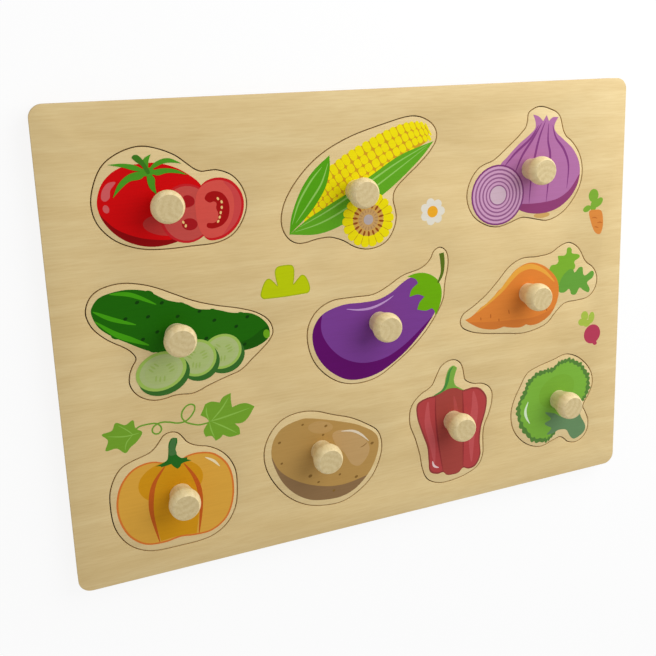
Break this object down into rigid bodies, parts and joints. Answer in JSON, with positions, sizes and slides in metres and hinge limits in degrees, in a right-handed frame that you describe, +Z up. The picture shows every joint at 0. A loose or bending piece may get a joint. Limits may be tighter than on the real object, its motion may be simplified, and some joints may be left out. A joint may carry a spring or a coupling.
{
  "type": "wooden inset puzzle",
  "caption": "Flat plywood board with vegetable-shaped pieces lying flush in recesses, each lifted straight out by a turned wooden knob glued to it.",
  "frame": {"origin": "middle of the board's underside, at the middle of the bounding box's bottom", "axes": "+X along the board's long side, from the pumpkin's side to the broccoli's; +Y across the board, towards the tomato's row; +Z up out of the printed face, along the knobs"},
  "size_m": [0.2994, 0.2202, 0.0216],
  "materials": {
    "face_plywood": "sanded pale plywood under a thin clear satin lacquer",
    "back_plywood": "plain sanded plywood",
    "tomato_plywood": "pale plywood, printed on top with a tomato and satin lacquered",
    "corn_plywood": "pale plywood, printed on top with a corn cob and satin lacquered",
    "onion_plywood": "pale plywood, printed on top with an onion and satin lacquered",
    "cucumber_plywood": "pale plywood, printed on top with a cucumber and satin lacquered",
    "eggplant_plywood": "pale plywood, printed on top with an eggplant and satin lacquered",
    "carrot_plywood": "pale plywood, printed on top with a carrot and satin lacquered",
    "pumpkin_plywood": "pale plywood, printed on top with a pumpkin and satin lacquered",
    "potato_plywood": "pale plywood, printed on top with a potato and satin lacquered",
    "pepper_plywood": "pale plywood, printed on top with a pepper and satin lacquered",
    "broccoli_plywood": "pale plywood, printed on top with a broccoli and satin lacquered",
    "knob_wood": "turned and sanded pale hardwood, end grain on top"
  },
  "bodies": {
    "board": {"board_face": "face_plywood", "board_back": "back_plywood"},
    "tomato": {"tomato_inset": "tomato_plywood", "tomato_knob": "knob_wood"},
    "corn": {"corn_inset": "corn_plywood", "corn_knob": "knob_wood"},
    "onion": {"onion_inset": "onion_plywood", "onion_knob": "knob_wood"},
    "cucumber": {"cucumber_inset": "cucumber_plywood", "cucumber_knob": "knob_wood"},
    "eggplant": {"eggplant_inset": "eggplant_plywood", "eggplant_knob": "knob_wood"},
    "carrot": {"carrot_inset": "carrot_plywood", "carrot_knob": "knob_wood"},
    "pumpkin": {"pumpkin_inset": "pumpkin_plywood", "pumpkin_knob": "knob_wood"},
    "potato": {"potato_inset": "potato_plywood", "potato_knob": "knob_wood"},
    "pepper": {"pepper_inset": "pepper_plywood", "pepper_knob": "knob_wood"},
    "broccoli": {"broccoli_inset": "broccoli_plywood", "broccoli_knob": "knob_wood"}
  },
  "joints": [
    {"name": "tomato_lift", "type": "slide", "parent": "board", "child": "tomato", "axis": [0, 0, 1], "range_m": [0, 0.04]},
    {"name": "corn_lift", "type": "slide", "parent": "board", "child": "corn", "axis": [0, 0, 1], "range_m": [0, 0.04]},
    {"name": "onion_lift", "type": "slide", "parent": "board", "child": "onion", "axis": [0, 0, 1], "range_m": [0, 0.04]},
    {"name": "cucumber_lift", "type": "slide", "parent": "board", "child": "cucumber", "axis": [0, 0, 1], "range_m": [0, 0.04]},
    {"name": "eggplant_lift", "type": "slide", "parent": "board", "child": "eggplant", "axis": [0, 0, 1], "range_m": [0, 0.04]},
    {"name": "carrot_lift", "type": "slide", "parent": "board", "child": "carrot", "axis": [0, 0, 1], "range_m": [0, 0.04]},
    {"name": "pumpkin_lift", "type": "slide", "parent": "board", "child": "pumpkin", "axis": [0, 0, 1], "range_m": [0, 0.04]},
    {"name": "potato_lift", "type": "slide", "parent": "board", "child": "potato", "axis": [0, 0, 1], "range_m": [0, 0.04]},
    {"name": "pepper_lift", "type": "slide", "parent": "board", "child": "pepper", "axis": [0, 0, 1], "range_m": [0, 0.04]},
    {"name": "broccoli_lift", "type": "slide", "parent": "board", "child": "broccoli", "axis": [0, 0, 1], "range_m": [0, 0.04]}
  ]
}
